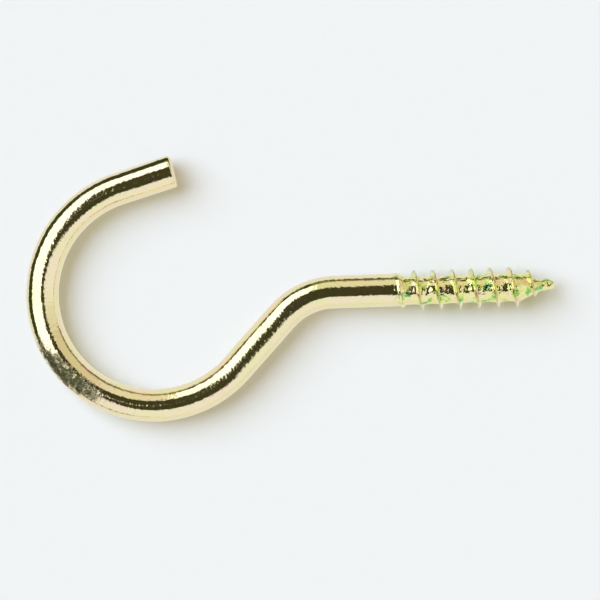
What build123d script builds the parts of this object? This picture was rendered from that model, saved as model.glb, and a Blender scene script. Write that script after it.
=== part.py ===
import os
from math import ceil, cos, radians, sin, tan

from build123d import *

# Cup hook bent from one length of plated steel wire, with a rolled wood-screw thread.
# Millimetres. The hook lies flat: the bends are in the XY plane and Z is up.
# Origin: on the shank's axis where the thread begins. +X runs to the screw's tip.

# Wire
wire_dia = 3.1
end_softening = 0.18  # round on the edge of the sheared end

# Bends, measured on the wire's centreline
shank_length = 6.15  # plain straight shank, from the thread to the neck bend
neck_radius = 6.8
neck_angle = 46.6  # how far the neck turns down, in degrees
loop_radius = 10.5
loop_angle = 210.2  # how far the loop turns back up, in degrees
loop_offset = 0.37  # height of the loop's centre above the shank's axis
tail_length = 5.4  # straight end of the wire, past the loop

# Screw thread
thread_pitch = 1.8
thread_major_dia = 3.9
thread_root_dia = 2.75
thread_length = 14.75  # from the origin to the tip, point included
point_length = 3.3  # from the full core to the tip
stub_length = 1.9  # slim end of the point, past its steep taper
stub_dia = 1.15
tip_dia = 0.95  # blunt round tip
flank_angle = 44.0  # between the two sides of the ridge, in degrees
crest_width = 0.14
shoulder_length = 0.7  # cone from the wire's size down to the thread's root
run_in_length = 2.2  # over which the ridge rises to its full height
ridge_overrun = 0.8  # how far the ridge keeps its full height past the start of the point
ridge_fade = 1.0  # over which the ridge then dies out
ridge_foot_dia = 1.0  # the ridge is rooted down to here, inside the core

wire_radius = wire_dia / 2
root_radius = thread_root_dia / 2
major_radius = thread_major_dia / 2
tip_radius = tip_dia / 2
foot_radius = ridge_foot_dia / 2
point_start = thread_length - point_length
tip_centre = thread_length - tip_radius
flank_slope = tan(radians(flank_angle / 2))


def turned(stations):
    # A solid of revolution about X, from a list of (x, radius) stations.
    with BuildPart() as body:
        with BuildSketch():
            with BuildLine():
                Polyline((stations[0][0], 0), *stations, (stations[-1][0], 0), close=True)
            make_face()
        revolve(axis=Axis.X)
    return body.part


def ridge_turn(start):
    # One right-hand turn of the ridge: two flanks that meet in a sharp edge, and a hidden base.
    apex_radius = major_radius + crest_width / 2 / flank_slope
    half_base = (apex_radius - foot_radius) * flank_slope
    edges = []
    for radius, shift in ((foot_radius, -half_base), (apex_radius, 0), (foot_radius, half_base)):
        centre = (start + shift, 0, 0)
        edges.append(Edge.make_helix(thread_pitch, thread_pitch, radius, center=centre, normal=(1, 0, 0)))
    rear, apex, front = edges
    sides = [Face.make_surface_from_curves(*pair) for pair in ((rear, apex), (apex, front), (front, rear))]
    ends = [Face(Wire.make_polygon([edge @ end for edge in edges])) for end in (0, 1)]
    return Solid(Shell(sides + ends))


def wire_route():
    # Shank, neck, slope, loop and tail as straight runs and tangent arcs.
    # The slope's length follows from the radii, so that the loop keeps its offset.
    turn = radians(neck_angle)
    drop = loop_radius * cos(turn) - neck_radius * (1 - cos(turn)) - loop_offset
    slope_length = drop / sin(turn)
    with BuildLine() as route:
        shank = Line((0, 0), (-shank_length, 0))
        neck = JernArc(shank @ 1, shank % 1, neck_radius, neck_angle)
        slope = PolarLine(neck @ 1, slope_length, direction=neck % 1)
        loop = JernArc(slope @ 1, slope % 1, loop_radius, -loop_angle)
        PolarLine(loop @ 1, tail_length, direction=loop % 1)
    return route.wires()[0]


# The screw's core: a shoulder, the root cylinder, a steep taper, and a slim stub with a round tip.
with BuildPart() as core:
    add(turned([
        (0, wire_radius),
        (shoulder_length, root_radius),
        (point_start, root_radius),
        (thread_length - stub_length, stub_dia / 2),
        (tip_centre, tip_radius),
    ]))
    with Locations((tip_centre, 0, 0)):
        Sphere(tip_radius)

# The space that the ridge may fill: it rises out of the shank, and dies out along the point.
ridge_room = turned([
    (-shoulder_length, root_radius),
    (run_in_length - shoulder_length, major_radius),
    (point_start + ridge_overrun, major_radius),
    (point_start + ridge_overrun + ridge_fade, foot_radius),
])

with BuildPart() as cup_hook:
    path = wire_route()
    with BuildSketch(Plane(path @ 0, z_dir=path % 0)):
        Circle(wire_radius)
    sweep(path=path)
    sheared_end = cup_hook.faces().filter_by(GeomType.PLANE).sort_by(Axis.Y)[-1]
    fillet(sheared_end.edges(), end_softening)
    add(core.part)
    # The first turn starts one pitch back inside the shank, so that the ridge fades in.
    for turn in range(ceil(thread_length / thread_pitch) + 1):
        trimmed = ridge_turn((turn - 1) * thread_pitch).intersect(ridge_room)
        if trimmed:
            add(trimmed)

size = cup_hook.part.bounding_box().size
print(f"wire length {path.length + thread_length:.1f}, overall {size.X:.2f} x {size.Y:.2f} x {size.Z:.2f}")

os.makedirs("parts", exist_ok=True)
cup_hook.part.label = "cup_hook"
export_step(cup_hook.part, "parts/cup_hook.step")
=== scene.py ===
import math
import bpy
import numpy as np
from mathutils import Matrix, Vector


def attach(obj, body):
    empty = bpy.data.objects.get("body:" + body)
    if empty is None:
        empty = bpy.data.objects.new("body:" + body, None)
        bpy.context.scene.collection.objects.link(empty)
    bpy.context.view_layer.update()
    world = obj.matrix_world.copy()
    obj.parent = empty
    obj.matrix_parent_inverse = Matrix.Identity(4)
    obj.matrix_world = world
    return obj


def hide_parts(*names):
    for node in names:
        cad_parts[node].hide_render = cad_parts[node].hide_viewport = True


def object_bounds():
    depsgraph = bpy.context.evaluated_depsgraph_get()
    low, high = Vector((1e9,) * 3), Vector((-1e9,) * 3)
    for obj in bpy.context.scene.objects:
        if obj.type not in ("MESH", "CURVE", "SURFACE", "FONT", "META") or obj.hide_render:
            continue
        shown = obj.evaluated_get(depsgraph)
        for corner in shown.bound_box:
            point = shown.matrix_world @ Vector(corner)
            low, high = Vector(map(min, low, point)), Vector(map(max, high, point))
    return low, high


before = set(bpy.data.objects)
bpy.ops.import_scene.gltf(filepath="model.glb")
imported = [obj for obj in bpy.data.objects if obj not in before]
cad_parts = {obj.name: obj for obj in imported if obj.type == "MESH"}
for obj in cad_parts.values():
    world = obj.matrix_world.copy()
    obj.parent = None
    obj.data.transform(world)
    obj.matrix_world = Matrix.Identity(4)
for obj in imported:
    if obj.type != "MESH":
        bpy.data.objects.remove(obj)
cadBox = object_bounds()
mm = 0.001
nodeName = "cup_hook"
print("frame loaded")


# shader sockets as numbers

class Sock:
    def __init__(self, mat, out):
        self.mat = mat
        self.out = out

    def calc(self, kind, first, second):
        return self.mat.node("ShaderNodeMath", {"operation": kind}, [first, second])

    def larger(self, other):
        return self.calc("MAXIMUM", self, other)

    def __add__(self, other):
        return self.calc("ADD", self, other)

    def __sub__(self, other):
        return self.calc("SUBTRACT", self, other)

    def __rsub__(self, other):
        return self.calc("SUBTRACT", other, self)

    def __mul__(self, other):
        return self.calc("MULTIPLY", self, other)

    def __truediv__(self, other):
        return self.calc("DIVIDE", self, other)

    def __rtruediv__(self, other):
        return self.calc("DIVIDE", other, self)

    __radd__ = __add__
    __rmul__ = __mul__


class Maker:
    def __init__(self, name, library="materials"):
        self.block = getattr(bpy.data, library).new(name)
        self.block.use_nodes = True
        self.tree = self.block.node_tree
        self.tree.nodes.clear()

    # settings are set first, then inputs by position or by name; output picks the socket to return
    def node(self, kind, settings=None, inputs=(), output=0):
        made = self.tree.nodes.new(kind)
        for key, value in (settings or {}).items():
            if key == "stops":
                self.setStops(made.color_ramp, value)
            else:
                setattr(made, key, value)
        pairs = inputs.items() if isinstance(inputs, dict) else enumerate(inputs)
        for key, value in pairs:
            if isinstance(value, Sock):
                self.tree.links.new(value.out, made.inputs[key])
            elif value is not None:
                made.inputs[key].default_value = value
        return Sock(self, made.outputs[output]) if made.outputs else made

    def setStops(self, ramp, stops):
        while len(ramp.elements) < len(stops):
            ramp.elements.new(1.0)
        for element, (place, colour) in zip(ramp.elements, stops):
            element.position = place
            element.color = colour

    def attribute(self, name, output="Vector"):
        return self.node("ShaderNodeAttribute", {"attribute_name": name}, output=output)

    def noise(self, where, scale, detail=3.0, roughness=0.55):
        values = {"Vector": where, "Scale": scale, "Detail": detail, "Roughness": roughness}
        return self.node("ShaderNodeTexNoise", {}, values)

    def alongWire(self, where):
        return self.node("ShaderNodeSeparateXYZ", {}, [where])

    def stretched(self, where, along, across):
        factors = (along, across, across)
        return self.node("ShaderNodeVectorMath", {"operation": "MULTIPLY"}, [where, factors])

    def ramp(self, value, stops):
        grey = [(place, (level, level, level, 1)) for place, level in stops]
        return self.node("ShaderNodeValToRGB", {"stops": grey}, [value])

    def colours(self, value, stops):
        opaque = [(place, (*colour, 1)) for place, colour in stops]
        return self.node("ShaderNodeValToRGB", {"stops": opaque}, [value])

    def mix(self, amount, first, second):
        first, second = (c if isinstance(c, Sock) else (*c, 1) for c in (first, second))
        return self.node("ShaderNodeMix", {"data_type": "RGBA"}, {0: amount, 6: first, 7: second}, 2)

    def finish(self, shader, output="ShaderNodeOutputMaterial"):
        self.node(output, {}, [shader])
        return self.block


# the wire; lengths are in millimetres and angles in degrees, unless a note says otherwise

wire = {
    "radius": 1.55,
    "segments": 112,
    "ringStep": 0.3,  # spacing of the mesh's rings on the plain wire
    "edgeRings": 6,  # rings on the rounded rim of the cut end
    "faceRings": 10,  # rings on the cut face itself
    "shank": 6.15,  # plain straight part behind the thread
    "neckRadius": 6.8,
    "neckAngle": 46.6,
    "loopRadius": 10.5,
    "loopAngle": 210.2,
    "loopOffset": 0.37,  # how far the loop's centre stands off the shank's axis
    "tail": 5.4,
    "ripple": 0.011,  # faint waviness of drawn and bent wire
    "rippleFrom": (0.6, 2.0),  # where the waviness comes in, behind the thread
    "bendFlat": 0.012,  # how much the section ovals in the bends, as a part of the radius
    "bendFade": (1.0, 2.4),  # how the ovalness comes in past the shank and goes out in the tail
    "endRound": 0.2,
    "endTilt": 3.5,  # the shear left the end face out of square, in the plane of the hook
    "endLean": 2.5,  # and from front to back
    "endTorn": 0.035,  # unevenness of the sheared face
}

thread = {
    "pitch": 1.8,
    "major": 1.91,
    "root": 1.375,  # both are radii
    "step": 0.032,  # spacing of the mesh's rings on the thread
    "behind": 0.6,  # how far those rings go on past the thread
    "flank": 11.0,  # how far each side of the ridge leans from upright
    "crest": 0.08,  # width of its top
    "rounding": 0.04,
    "startTurn": 0.25,  # part of a turn that sets where the ridge begins
    "hollow": 0.07,  # how far the root dips between two ridges
    "shoulder": (-0.1, 0.7),  # where the wire narrows to the root
    "runIn": (-0.45, 1.5),  # where the ridge starts, and where it reaches its full height
    "rolled": (0.2, 1.2),  # where the hollows of the root come in
    "point": 3.3,  # length of the tapered end
    "pointEase": (0.3, 0.4),  # softening of the taper's two ends
    "overrun": 0.8,  # how far the full ridge runs on over the taper
    "fade": 1.0,  # and the length over which it then dies down
    "stub": 1.6,  # slim end of the point
    "stubRadius": 0.54,
    "tipRadius": 0.44,
    "tipRings": 12,
    "pointRidge": 0.12,  # height of the ridge on the stub
    "pointRidgeEnd": (0.9, 0.2),  # how far from the tip that ridge dies out
    "lumps": 0.075,  # uneven pinched metal at the point
    "wobble": 0.07,  # uneven height of the crest
    "uneven": 0.06,  # uneven thickness of the ridge, as a part of it
    "drunk": 0.1,  # how far each turn strays along the axis
    "offCentre": 0.11,  # the rolled part sits a little to one side of the wire
    "offFrom": (-0.3, 1.2),  # where that step to the side comes in
    "offEnd": 0.8,  # and how far from the tip it has gone
    "rootRipple": 0.035,  # uneven metal between the ridges
}

scuff = {
    "centre": 17.7,  # along the loop from where it starts, to the middle of the plier mark
    "halfLength": 4.0,
    "side": 1.0,  # which way round the section it faces, in radians up from straight outwards
    "slant": 0.36,  # how far it turns outwards over its half length, in radians
    "width": 0.62,  # in radians round the wire
    "depth": 0.045,
    "fall": 1.6,  # how sharply it fades along the wire
    "smooth": 0.55,  # even part of the dent
    "bruised": 0.9,  # and how strongly small bruises add to it
}

tipX = cadBox[1].x / mm  # the thread begins at x = 0 and the tip is the end of the part's box
loopCentre = (cadBox[0].x / mm + wire["radius"] + wire["loopRadius"], wire["loopOffset"])


def makeLegs():
    # length and curvature of each leg, from the tip to the cut end
    w = wire
    turn = math.radians(w["neckAngle"])
    drop = w["loopRadius"] * math.cos(turn) - w["neckRadius"] * (1 - math.cos(turn)) - w["loopOffset"]
    return [
        (tipX + w["shank"], 0.0),
        (w["neckRadius"] * turn, 1 / w["neckRadius"]),
        (drop / math.sin(turn), 0.0),
        (w["loopRadius"] * math.radians(w["loopAngle"]), -1 / w["loopRadius"]),
        (w["tail"], 0.0),
    ]


legs = makeLegs()
wireLength = sum(length for length, _ in legs)
loopStart = sum(length for length, _ in legs[:3])


def centreline(s):
    # place and heading on the wire's axis, a distance s from the tip
    x, y, heading = tipX, 0.0, math.pi
    for index, (length, bend) in enumerate(legs):
        isLast = index == len(legs) - 1
        part = s if isLast else min(s, length)
        if bend:
            turned = heading + part * bend
            x += (math.sin(turned) - math.sin(heading)) / bend
            y -= (math.cos(turned) - math.cos(heading)) / bend
            heading = turned
        else:
            x += part * math.cos(heading)
            y += part * math.sin(heading)
        s -= part
        if s <= 0:
            break
    return x, y, heading, bend


def smoothMin(a, b, k):
    h = np.clip(0.5 + 0.5 * (b - a) / k, 0, 1)
    return b * (1 - h) + a * h - k * h * (1 - h)


def ease(low, high, x):
    t = np.clip((x - low) / (high - low), 0, 1)
    return t * t * (3 - 2 * t)


waves = np.random.default_rng(7)


def makeRipple(count, shortest, longest):
    # a smooth uneven function of the place along the wire and round it
    lengths = np.geomspace(shortest, longest, count)
    rounds = waves.integers(0, 5, count)
    phases = waves.uniform(0, 2 * math.pi, count)
    sizes = waves.uniform(0.4, 1.0, count) * (lengths / longest) ** 0.5

    def ripple(along, angle):
        parts = (size * np.sin(2 * math.pi * along / length + turns * angle + phase)
                 for length, turns, phase, size in zip(lengths, rounds, phases, sizes))
        return sum(parts) / sizes.sum()

    return ripple


longRipple = makeRipple(9, 2.5, 16.0)
crestRipple = makeRipple(12, 0.5, 6.0)
rootRipple = makeRipple(12, 0.7, 2.6)
dentRipple = makeRipple(14, 0.35, 2.2)


def threadRadius(x, angle):
    # radius of the threaded part at x and height of its ridge; the angle runs from the -Y side towards +Z
    t = thread
    pointStart = tipX - t["point"]
    stubStart = tipX - t["stub"]
    tipCentre = tipX - t["tipRadius"]
    slope = math.tan(math.radians(t["flank"]))
    onPoint = ease(pointStart, stubStart, x)
    uneven = crestRipple(x, angle)

    core = t["root"] + (wire["radius"] - t["root"]) * (1 - ease(*t["shoulder"], x))
    early, late = t["pointEase"]
    core = core + (t["stubRadius"] - t["root"]) * ease(pointStart - early, stubStart + late, x)
    core = core + (t["tipRadius"] - t["stubRadius"]) * ease(stubStart, tipCentre, x)
    core = core + t["lumps"] * dentRipple(0.8 * x, angle) * onPoint

    turns = (x + t["drunk"] * np.cos(angle)) / t["pitch"] - (t["startTurn"] - angle / (2 * math.pi))
    away = np.abs(turns - np.round(turns)) * t["pitch"] * (1 + t["uneven"] * uneven)
    rolled = ease(*t["rolled"], x) * (1 - onPoint)
    core = core - t["hollow"] * rolled * np.sin(np.pi * away / t["pitch"]) ** 2
    core = core + t["rootRipple"] * rolled * rootRipple(x, angle)

    full = t["major"] - t["root"]
    rise = full + t["crest"] / 2 / slope - away / slope
    fadeStart = pointStart + t["overrun"]
    cap = full * ease(*t["runIn"], x) * (1 - ease(fadeStart, fadeStart + t["fade"], x))
    dying, gone = t["pointRidgeEnd"]
    cap = cap + t["pointRidge"] * onPoint * (1 - ease(tipX - dying, tipX - gone, x))
    cap = cap * (1 + t["wobble"] * uneven / full)
    ridge = smoothMin(rise, cap, t["rounding"])
    ridge = -smoothMin(-ridge, 0 * ridge, t["rounding"])
    ridge = np.where(cap > 1e-4, ridge, 0)
    return core + ridge, np.clip(ridge / full, 0, 1)


def ringStations():
    # distance from the tip, share of the radius, and how far it belongs to the cut face, for every ring
    t, w = thread, wire
    rings = []
    for k in range(1, t["tipRings"]):
        lean = math.pi / 2 * k / t["tipRings"]
        rings.append((t["tipRadius"] * (1 - math.cos(lean)), math.sin(lean), 0.0))
    threaded = tipX + t["behind"] - t["tipRadius"]
    count = int(threaded / t["step"])
    rings += [(t["tipRadius"] + threaded * k / count, 1.0, 0.0) for k in range(count)]
    start = t["tipRadius"] + threaded
    plain = wireLength - w["endRound"] - start
    count = int(plain / w["ringStep"])
    marked = loopStart + scuff["centre"]
    spots = [start + plain * k / count for k in range(count)]
    extra = [s + w["ringStep"] * part for s in spots for part in (1 / 3, 2 / 3)
             if abs(s - marked) < scuff["halfLength"] * 1.3]
    rings += [(s, 1.0, 0.0) for s in sorted(spots + extra)]
    roundShare = w["endRound"] / w["radius"]
    for k in range(w["edgeRings"] + 1):
        lean = math.pi / 2 * k / w["edgeRings"]
        share = 1 - roundShare * (1 - math.cos(lean))
        inset = w["endRound"] * (1 - math.sin(lean))
        rings.append((wireLength - inset, share, ease(0, w["edgeRings"], k)))
    for k in range(1, w["faceRings"]):
        rings.append((wireLength, (1 - roundShare) * (1 - k / w["faceRings"]), 1.0))
    return rings


def plainShape(radius, s, angles):
    # the waviness of the wire and the slight oval of its bends
    w = wire
    backFromThread = s - tipX
    radius = radius + w["ripple"] * longRipple(s, angles) * ease(*w["rippleFrom"], backFromThread)
    comesIn, goesOut = w["bendFade"]
    tailStart = wireLength - w["tail"]
    bent = ease(0, comesIn, backFromThread - w["shank"]) * (1 - ease(tailStart, tailStart + goesOut, s))
    return radius * (1 - w["bendFlat"] * bent * np.cos(2 * angles))


def scuffPatch(s, angles, bend):
    # how strongly the plier mark shows at each point of a ring
    outward = 0.0 if bend <= 0 else math.pi  # the side on the outside of the bend
    along = (s - loopStart - scuff["centre"]) / scuff["halfLength"]
    facing = outward + scuff["side"] - scuff["slant"] * along
    turnAway = np.angle(np.exp(1j * (angles - facing)))
    return np.exp(-(along ** 2) * scuff["fall"] - (turnAway / scuff["width"]) ** 2)


def cutFace(across, upward):
    # how far the sheared face stands out of square
    tilt = across * math.tan(math.radians(wire["endTilt"]))
    lean = upward * math.tan(math.radians(wire["endLean"]))
    return tilt - lean + wire["endTorn"] * dentRipple(across * 0.7, upward * 1.3)


def sideStep(place):
    # how far the rolled part sits off the wire's axis
    t = thread
    leaving = ease(tipX - t["point"], tipX - t["offEnd"], place)
    return t["offCentre"] * ease(*t["offFrom"], place) * (1 - leaving)


def buildWire():
    rings = ringStations()
    angles = np.arange(wire["segments"]) / wire["segments"] * 2 * math.pi
    points, skins, heights, marks = [], [], [], []
    for s, share, onFace in rings:
        x, y, heading, bend = centreline(s)
        side = np.array([-math.sin(heading), math.cos(heading), 0.0])
        ahead = np.array([math.cos(heading), math.sin(heading), 0.0])
        place = tipX - s
        if place > -thread["behind"]:
            radius, height = threadRadius(np.full_like(angles, place), angles)
        else:
            radius, height = np.full_like(angles, wire["radius"]), np.zeros_like(angles)
        radius = plainShape(radius, s, angles)
        patch = scuffPatch(s, angles, bend)
        bruise = scuff["smooth"] + scuff["bruised"] * dentRipple(s, angles)
        radius = (radius - scuff["depth"] * patch * bruise) * share
        across, upward = radius * np.cos(angles), radius * np.sin(angles)
        shift = onFace * cutFace(across, upward)
        centre = np.array([x, y - sideStep(place), 0.0])
        ring = centre + np.outer(across, side) + np.outer(shift, ahead)
        ring[:, 2] += upward
        points.append(ring)
        skins.append(np.stack([np.full_like(angles, s), across, upward], 1))
        heights.append(height)
        marks.append(patch)
    x, y, _, _ = centreline(wireLength)
    points = np.concatenate([*points, [[tipX, 0, 0]], [[x, y, 0]]])  # the tip and the middle of the cut face
    skins = np.concatenate([*skins, [[0, 0, 0]], [[wireLength, 0, 0]]])
    heights = np.concatenate([*heights, [0, 0]])
    marks = np.concatenate([*marks, [0, 0]])
    return points * mm, wireFaces(len(rings)), skins, heights, marks


def wireFaces(ringCount):
    n = wire["segments"]
    faces = []
    for ring in range(ringCount - 1):
        low, high = ring * n, (ring + 1) * n
        faces += [(low + k, low + (k + 1) % n, high + (k + 1) % n, high + k) for k in range(n)]
    tip, end = ringCount * n, ringCount * n + 1
    last = (ringCount - 1) * n
    faces += [(tip, (k + 1) % n, k) for k in range(n)]
    faces += [(end, last + k, last + (k + 1) % n) for k in range(n)]
    return faces


def makeMesh(name, points, faces):
    mesh = bpy.data.meshes.new(name)
    mesh.from_pydata([tuple(p) for p in points], [], faces)
    mesh.validate()
    mesh.polygons.foreach_set("use_smooth", [True] * len(mesh.polygons))
    piece = bpy.data.objects.new(name, mesh)
    bpy.context.scene.collection.objects.link(piece)
    return piece


def storeOnPoints(piece, name, kind, values):
    layer = piece.data.attributes.new(name, kind, "POINT")
    layer.data.foreach_set("vector" if kind == "FLOAT_VECTOR" else "value", values.ravel())


points, faces, skins, heights, marks = buildWire()
hook = makeMesh("bent_wire_hook", points, faces)
storeOnPoints(hook, "wireSkin", "FLOAT_VECTOR", skins)  # place along the wire and across it, in mm
storeOnPoints(hook, "ridge", "FLOAT", heights)
storeOnPoints(hook, "mark", "FLOAT", marks)
print("wire built,", len(hook.data.polygons), "faces")


# yellow plating over steel

plating = {
    "tints": [  # faint patches of tint on the plain wire: greenish, gold, pinkish
        (0.36, (0.89, 0.85, 0.49)),
        (0.50, (0.92, 0.83, 0.54)),
        (0.66, (0.94, 0.80, 0.57)),
    ],
    "hues": [  # interference hues of the thin film, from thin to thick
        (0.32, (0.95, 0.64, 0.46)),
        (0.40, (0.93, 0.83, 0.48)),
        (0.53, (0.90, 0.90, 0.36)),
        (0.60, (0.62, 0.82, 0.16)),
        (0.66, (0.20, 0.56, 0.12)),
        (0.73, (0.06, 0.40, 0.28)),
    ],
    "film": 0.78,  # how strongly the hues show on the thread
    "plainFilm": 0.05,  # and on the plain wire
    "crest": (0.50, 0.44, 0.20),  # painted shade: darker colour on top of the ridge, standing in for the dark reflection the crests catch
    "crestShadeCover": 0.55,
    "grime": [  # the dull mark: dark, green and brown stains
        (0.40, (0.02, 0.026, 0.012)),
        (0.52, (0.05, 0.075, 0.022)),
        (0.62, (0.20, 0.155, 0.085)),
    ],
    "grimeCover": 0.9,
    "sheared": (0.90, 0.68, 0.46),
    "shearedCover": 0.8,
    "rough": 0.04,  # roughness of the smoothest plating; the next three add to it
    "unevenRough": 0.05,  # added by the scratches and by the orange peel
    "scuffRough": 0.26,
    "shearedRough": 0.25,
    "relief": 0.035,  # height of the fine relief, in mm; the next four share it out
    "scratchRelief": 0.1,
    "peelRelief": (0.48, 0.9),  # on the plain wire, and what the thread adds
    "dentRelief": 3.0,
    "pitRelief": (0.05, 0.9),  # on the plain wire, and what the dull mark adds
}


def makePlating():
    p = plating
    m = Maker("yellow plating")
    skin = m.attribute("wireSkin")
    ridge = m.attribute("ridge", "Fac")
    mark = m.attribute("mark", "Fac")

    # where the thread, its crests with painted dark reflection, the dull mark and the sheared face are
    threadShare = m.alongWire(skin) / (tipX + 1.0)
    threaded = m.ramp(threadShare, [(0.90, 1.0), (0.985, 0.0)])
    # painted dark reflection: how far up the ridge the crest darkening reaches
    crestShaded = m.ramp(ridge, [(0.35, 0.0), (0.85, 1.0)])
    patches = m.noise(skin, 2.6, 3.0, 0.6)
    dull = m.ramp(mark * (patches * 4.0 - 1.0), [(0.2, 0.0), (0.55, 1.0)])
    nearEnd = m.alongWire(skin) - (wireLength - 0.5)
    sheared = m.ramp(nearEnd, [(0.44, 0.0), (0.5, 1.0)])

    broad = m.noise(m.stretched(skin, 0.25, 0.6), 1.0, 2.0)
    film = m.noise(skin, 1.3, 2.0)
    stains = m.noise(skin, 3.4, 2.0)
    tint, hue = m.colours(broad, p["tints"]), m.colours(film, p["hues"])
    colour = m.mix(threaded * p["film"] + p["plainFilm"], tint, hue)
    # painted dark reflection: the ridge tops are darkened in the base colour
    colour = m.mix(crestShaded * p["crestShadeCover"], colour, p["crest"])
    colour = m.mix(dull * p["grimeCover"], colour, m.colours(stains, p["grime"]))
    colour = m.mix(sheared * p["shearedCover"], colour, p["sheared"])

    scratches = m.noise(m.stretched(skin, 0.12, 9.0), 1.0, 2.0)
    peel = m.noise(skin, 3.4, 1.0)
    dents = m.noise(skin, 1.4, 1.0)
    pits = m.noise(skin, 12.0, 1.0)
    rough = dull * p["scuffRough"] + sheared * p["shearedRough"]
    rough = rough + scratches * p["unevenRough"] + peel * p["unevenRough"] + p["rough"]
    plainPeel, threadPeel = p["peelRelief"]
    plainPits, dullPits = p["pitRelief"]
    height = scratches * p["scratchRelief"] + peel * (threaded * threadPeel + plainPeel)
    height = height + dents * threaded * p["dentRelief"] + pits * (dull * dullPits + plainPits)
    relief = {"Height": height, "Strength": 1.0, "Distance": p["relief"] * mm}
    return m.finish(m.node("ShaderNodeBsdfPrincipled", {}, {
        "Base Color": colour,
        "Metallic": 1.0,
        "Roughness": rough,
        "Normal": m.node("ShaderNodeBump", {}, relief),
    }))


hook.data.materials.append(makePlating())
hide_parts(nodeName)
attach(hook, "root")
print("plating made")


# paper floor, tilted as the hook rests on its loop and its thread

floorSheet = {
    "half": 1.2,  # half the sheet's width, in metres
    "paper": (0.86, 0.875, 0.88),
    "grainShade": 0.985,  # how much darker the paper's grain is
    "grainSize": 900.0,
    "grainHeight": 0.02,
    "gap": 0.045,  # clearance that keeps the uneven metal out of the paper
}


def floorPlace(lift):
    # contact under the loop's far side and under the first full turn of the thread
    farX = cadBox[0].x / mm + wire["radius"]
    tilt = (thread["major"] - wire["radius"]) / (thread["runIn"][1] - farX)
    level = lift - wire["radius"] - floorSheet["gap"]
    return Matrix.Translation((farX * mm, 0, level * mm)) @ Matrix.Rotation(math.atan(tilt), 4, "Y")


def makeFloor():
    f = floorSheet
    m = Maker("paper")
    grain = m.noise(m.node("ShaderNodeTexCoord", output="Object"), f["grainSize"], 3.0)
    colour = m.mix(grain, tuple(c * f["grainShade"] for c in f["paper"]), f["paper"])
    relief = {"Height": grain, "Strength": 0.1, "Distance": f["grainHeight"] * mm}
    bump = m.node("ShaderNodeBump", {}, relief)
    flat = {"Base Color": colour, "Roughness": 1.0, "Specular IOR Level": 0.0, "Normal": bump}
    shader = m.node("ShaderNodeBsdfPrincipled", {}, flat)
    half = f["half"]
    corners = [(-half, -half, 0), (half, -half, 0), (half, half, 0), (-half, half, 0)]
    floor = makeMesh("paper_floor", corners, [(0, 1, 2, 3)])
    floor.data.materials.append(m.finish(shader))
    floor.matrix_world = floorPlace(0.0)


makeFloor()
print("floor laid")


# studio: a soft lamp for the shading, and cards that only the polished metal sees

studioCentre = Vector((loopCentre[0] * mm, loopCentre[1] * mm, 0))


def direction(azimuth, zenith):
    a, z = math.radians(azimuth), math.radians(zenith)
    return Vector((math.sin(z) * math.cos(a), math.sin(z) * math.sin(a), math.cos(z)))


cardDistance = 0.9  # in metres
cardStep = 4  # size of a card's mesh faces, in degrees
cards = {
    # name: (azimuth from, to, zenith angle from, to, colour, strength)
    "softbox": (103, 214, 0, 75.5, (1.0, 1.0, 1.0), 1.6),
    "fillCard": (-125, 3, 0, 91.6, (0.98, 0.97, 1.0), 0.94),
    "halfGap": (3, 18, 0, 91.6, (1.0, 0.94, 0.82), 0.83),
    "warmGap": (60, 103, 0, 77, (1.0, 0.94, 0.76), 0.84),
    "goldGap": (18, 60, 0, 79, (1.0, 0.91, 0.66), 0.72),
    "goldFoot": (18, 60, 79, 91.6, (1.0, 0.85, 0.4), 0.28),
    "darkGap": (214, 235, 0, 91.6, (1.0, 0.9, 0.6), 0.10),
    "lampFoot": (103, 214, 75.5, 91.6, (0.8, 1.0, 0.45), 0.055),
    "warmFoot": (60, 103, 77, 91.6, (1.0, 0.9, 0.45), 0.26),
}


def onlyReflected(card, colour, strength):
    m = Maker(card.name)
    glow = m.node("ShaderNodeEmission", {}, {"Color": (*colour, 1), "Strength": strength})
    card.data.materials.append(m.finish(glow))
    card.visible_camera = False
    card.visible_diffuse = False
    card.visible_shadow = False
    card.visible_transmission = False


def makeCard(name, spec):
    azFrom, azTo, zenFrom, zenTo, colour, strength = spec
    columns = max(2, int((azTo - azFrom) / cardStep))
    rows = max(2, int((zenTo - zenFrom) / cardStep))
    points = []
    for row in range(rows + 1):
        zenith = zenFrom + (zenTo - zenFrom) * row / rows
        for column in range(columns + 1):
            azimuth = azFrom + (azTo - azFrom) * column / columns
            points.append(studioCentre + direction(azimuth, zenith) * cardDistance)
    wide = columns + 1
    faces = [(r * wide + c, r * wide + c + 1, (r + 1) * wide + c + 1, (r + 1) * wide + c)
             for r in range(rows) for c in range(columns)]
    onlyReflected(makeMesh(name, points, faces), colour, strength)


for name, spec in cards.items():
    makeCard(name, spec)

darkOverhead = {
    # the dark ceiling and camera above, lopsided: (azimuth, zenith angle of its rim)
    "height": 0.62,  # in metres
    "colour": (1.0, 0.95, 0.36),
    "strength": 0.045,
    "rim": [
        (0, 14), (21, 17), (45, 24), (76, 31), (90, 36), (106, 37), (118, 34), (126, 31),
        (132, 27), (138, 20), (150, 15), (165, 10), (180, 6), (215, 6), (236, 28), (256, 37),
        (272, 34), (289, 37), (300, 41), (310, 44), (318, 38), (325, 25), (338, 15), (360, 14),
    ],
}


def makeDarkOverhead():
    d = darkOverhead
    around, zeniths = zip(*d["rim"])
    points = [(0, 0, 0)]
    for azimuth in range(0, 360, 3):
        out = d["height"] * math.tan(math.radians(np.interp(azimuth, around, zeniths)))
        way = math.radians(azimuth)
        points.append((out * math.cos(way), out * math.sin(way), 0))
    count = len(points) - 1
    faces = [(0, 1 + (k + 1) % count, 1 + k) for k in range(count)]
    ceiling = makeMesh("dark_overhead", points, faces)
    ceiling.location = studioCentre + Vector((0, 0, d["height"]))
    onlyReflected(ceiling, d["colour"], d["strength"])


makeDarkOverhead()

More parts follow.
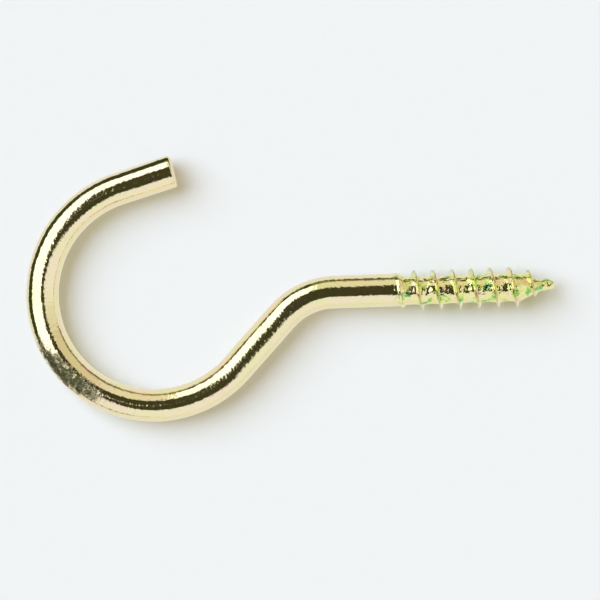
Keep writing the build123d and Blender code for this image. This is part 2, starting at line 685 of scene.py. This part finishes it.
tables = {
    # the bright paper as the metal sees it, and the dark table past its edge on the lamp's side
    "reach": 900.0,  # in mm
    "edge": [(-40, 6), (-34, 16.5), (-15, 16.5), (-6, 17)],  # in mm
    "lift": 0.08,  # height of each above the sheet below it, in mm
    "bright": ((1.0, 0.98, 0.96), 0.88),
    "dark": ((0.8, 1.0, 0.45), 0.05),
}


def makeTable(name, outline, faces, lift, shade):
    place = floorPlace(lift)
    startX = place.translation.x
    table = makeMesh(name, [(x * mm - startX, y * mm, 0) for x, y in outline], faces)
    table.matrix_world = place
    onlyReflected(table, *shade)


def makeTables():
    t = tables
    far, edge = t["reach"], t["edge"]
    sheet = [(-far, -far), (far, -far), (far, far), (-far, far)]
    makeTable("bright_paper", sheet, [(0, 1, 2, 3)], t["lift"], t["bright"])
    outline = [(-far, -far), (edge[0][0], -far), *edge, (far, edge[-1][1]), (far, far), (-far, far)]
    makeTable("dark_table", outline, [tuple(range(len(outline)))], t["lift"] * 2, t["dark"])


makeTables()

lamp = {
    "azimuth": 150,
    "zenith": 42,
    "spread": 53,  # how wide the soft light looks, in degrees
    "colour": (0.67, 0.775, 1.0),
    "power": 3.13,
}


def makeLamp():
    way = direction(lamp["azimuth"], lamp["zenith"])
    data = bpy.data.lights.new("soft_lamp", "SUN")
    data.angle = math.radians(lamp["spread"])
    data.energy = lamp["power"]
    data.color = lamp["colour"]
    light = bpy.data.objects.new("soft_lamp", data)
    bpy.context.scene.collection.objects.link(light)
    light.location = way
    light.rotation_euler = way.to_track_quat("Z", "Y").to_euler()
    light.visible_glossy = False


makeLamp()

backdrop = {
    "seen": (0.88, 0.9, 0.905),
    "fill": (1.0, 0.88, 0.58),
    "fillStrength": 0.54,
}


def makeWorld():
    # the camera, the metal and clear things see the pale backdrop; the fill only lights
    b = backdrop
    m = Maker("studio", "worlds")
    kinds = ("Is Camera Ray", "Is Glossy Ray", "Is Transmission Ray")
    camera, glossy, through = (m.node("ShaderNodeLightPath", output=kind) for kind in kinds)
    seen = m.node("ShaderNodeBackground", {}, {"Color": (*b["seen"], 1)})
    fill = m.node("ShaderNodeBackground", {}, {"Color": (*b["fill"], 1), "Strength": b["fillStrength"]})
    both = m.node("ShaderNodeMixShader", {}, [camera.larger(glossy).larger(through), fill, seen])
    bpy.context.scene.world = m.finish(both, "ShaderNodeOutputWorld")


makeWorld()
print("studio lit")


# camera, straight above the hook

view = {
    "height": 0.32,  # in metres
    "across": 56.7,  # width of what it sees at the wire's level, in mm
    "roll": 1.94,
    "centre": (-9.37, -0.64),
    "sensor": 36.0,
}


def makeCamera():
    data = bpy.data.cameras.new("camera")
    data.sensor_width = view["sensor"]
    data.lens = data.sensor_width * view["height"] / (view["across"] * mm)
    data.clip_start, data.clip_end = 0.01, 10
    camera = bpy.data.objects.new("camera", data)
    bpy.context.scene.collection.objects.link(camera)
    camera.location = (view["centre"][0] * mm, view["centre"][1] * mm, view["height"])
    camera.rotation_euler = (0, 0, -math.radians(view["roll"]))
    bpy.context.scene.camera = camera


makeCamera()
bpy.context.scene.view_settings.view_transform = "Standard"

print("scene ready")
